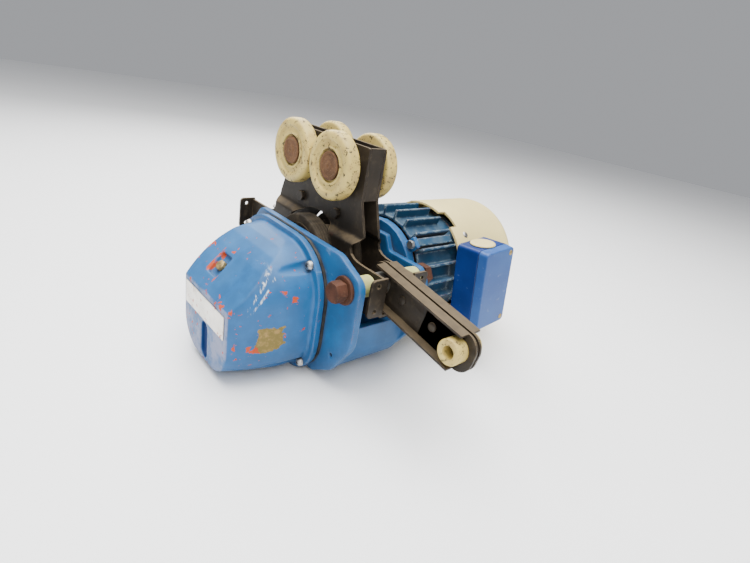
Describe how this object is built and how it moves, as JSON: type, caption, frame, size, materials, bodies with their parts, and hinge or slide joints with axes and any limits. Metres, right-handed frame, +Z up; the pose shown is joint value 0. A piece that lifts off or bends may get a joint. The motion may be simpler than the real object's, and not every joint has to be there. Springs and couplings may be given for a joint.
{
  "type": "motorised rail trolley",
  "caption": "Motor-driven overhead-rail hoist trolley with a friction wheel, a geared drive, a frame on rail wheels and a coupling arm.",
  "frame": {"origin": "under the middle of the whole part's box, at its lowest point, the gear cover's foot", "axes": "+X along the shafts from the gear cover to the motor, +Z up towards the rail wheels, the coupling arm points along -Y"},
  "size_m": [0.432, 0.3876, 0.2647],
  "materials": {
    "box_blue": "royal blue moulded box",
    "brass": "dull brass",
    "bright_steel": "turned or ground steel",
    "copper": "varnished copper winding",
    "cream": "cream sheet-metal cover",
    "dark_steel": "dark brown-grey steel with dusty edges",
    "gasket": "dark sealing sheet",
    "label_metal": "blank off-white plate",
    "motor_paint": "darker blue motor paint, its fin edges chipped pale",
    "nylon": "aged cream nylon, soiled on the treads",
    "paint": "light blue paint on castings, chipped to a red primer",
    "rubber": "black rubber",
    "rust": "rust-brown steel",
    "spacer_green": "pale yellow-green plastic"
  },
  "bodies": {
    "drive_unit": {"main_housing": "paint", "wheel_bearing_left": "bright_steel", "wheel_bearing_right": "bright_steel", "pivot_bolt": "rust", "pivot_washer": "rust", "pivot_nut": "rust", "pivot_spacer_left": "spacer_green", "pivot_spacer_right": "spacer_green", "suspension_spring": "bright_steel", "spring_bolt": "bright_steel", "gear_cover": "paint", "cover_gasket": "gasket", "cover_screw_1": "dark_steel", "cover_screw_2": "dark_steel", "cover_screw_3": "dark_steel", "cover_screw_4": "dark_steel", "oil_plug": "brass", "blank_label": "label_metal", "gear_bridge": "dark_steel", "motor_frame": "motor_paint", "motor_end_shield_front": "paint", "stator_core": "dark_steel", "stator_windings": "copper", "motor_end_shield_rear": "motor_paint", "motor_bearing_front": "bright_steel", "motor_bearing_rear": "bright_steel", "fan_cover": "cream", "terminal_box": "box_blue", "terminal_box_lid": "box_blue", "cable_entry_plug": "cream", "terminal_strip": "nylon"},
    "trolley": {"side_plate_left": "dark_steel", "side_plate_right": "dark_steel", "end_plate_front": "dark_steel", "end_plate_rear": "dark_steel", "floor_plate_front": "dark_steel", "floor_plate_rear": "dark_steel", "axle_front": "rust", "axle_rear": "rust", "hanger_bolt_front": "rust", "hanger_bolt_rear": "rust"},
    "arm": {"arm_channel_left": "dark_steel", "arm_channel_right": "dark_steel", "arm_eye_bush": "nylon", "arm_pivot_bush": "bright_steel"},
    "roller_front_left": {"trolley_wheel_front_left": "nylon"},
    "roller_front_right": {"trolley_wheel_front_right": "nylon"},
    "roller_rear_left": {"trolley_wheel_rear_left": "nylon"},
    "roller_rear_right": {"trolley_wheel_rear_right": "nylon"},
    "drive_wheel": {"friction_wheel_hub": "dark_steel", "friction_tyre_left": "rubber", "friction_tyre_right": "rubber", "output_gear": "bright_steel"},
    "cross_shaft": {"cross_shaft": "bright_steel", "first_gear": "bright_steel"},
    "layshaft": {"layshaft": "bright_steel", "lay_gear": "bright_steel"},
    "rotor": {"rotor_shaft": "bright_steel", "rotor_core": "dark_steel", "cooling_fan": "rubber"}
  },
  "joints": [
    {"name": "trolley_tilt", "type": "hinge", "parent": "drive_unit", "child": "trolley", "pos_m": [-0.06395, -0.06323, 0.125], "axis": [1, 0, 0], "range_deg": [0, 3], "stiffness_Nm_per_rad": 60, "deforming": ["suspension_spring"]},
    {"name": "arm_swing", "type": "hinge", "parent": "trolley", "child": "arm", "pos_m": [-0.06395, -0.06323, 0.125], "axis": [-1, 0, 0], "range_deg": [0, 20]},
    {"name": "rotor_spin", "type": "hinge", "parent": "drive_unit", "child": "rotor", "pos_m": [-0.06395, 0.01377, 0.10019], "axis": [1, 0, 0], "continuous": true},
    {"name": "cross_shaft_spin", "type": "hinge", "parent": "drive_unit", "child": "cross_shaft", "pos_m": [-0.06395, 0.05377, 0.113], "axis": [1, 0, 0], "continuous": true},
    {"name": "layshaft_spin", "type": "hinge", "parent": "drive_unit", "child": "layshaft", "pos_m": [-0.06395, 0.05377, 0.07537], "axis": [1, 0, 0], "continuous": true},
    {"name": "drive_wheel_spin", "type": "hinge", "parent": "drive_unit", "child": "drive_wheel", "pos_m": [-0.06395, 0.05377, 0.113], "axis": [1, 0, 0], "continuous": true},
    {"name": "roller_front_left_spin", "type": "hinge", "parent": "trolley", "child": "roller_front_left", "pos_m": [-0.06395, 0.01677, 0.2287], "axis": [1, 0, 0], "continuous": true},
    {"name": "roller_front_right_spin", "type": "hinge", "parent": "trolley", "child": "roller_front_right", "pos_m": [-0.06395, 0.01677, 0.2287], "axis": [1, 0, 0], "continuous": true},
    {"name": "roller_rear_left_spin", "type": "hinge", "parent": "trolley", "child": "roller_rear_left", "pos_m": [-0.06395, 0.09077, 0.2287], "axis": [1, 0, 0], "continuous": true},
    {"name": "roller_rear_right_spin", "type": "hinge", "parent": "trolley", "child": "roller_rear_right", "pos_m": [-0.06395, 0.09077, 0.2287], "axis": [1, 0, 0], "continuous": true}
  ],
  "couplings": [
    {"joint": "cross_shaft_spin", "follows": "rotor_spin", "ratio": -0.2973},
    {"joint": "layshaft_spin", "follows": "rotor_spin", "ratio": 0.1022},
    {"joint": "drive_wheel_spin", "follows": "rotor_spin", "ratio": -0.03956}
  ]
}
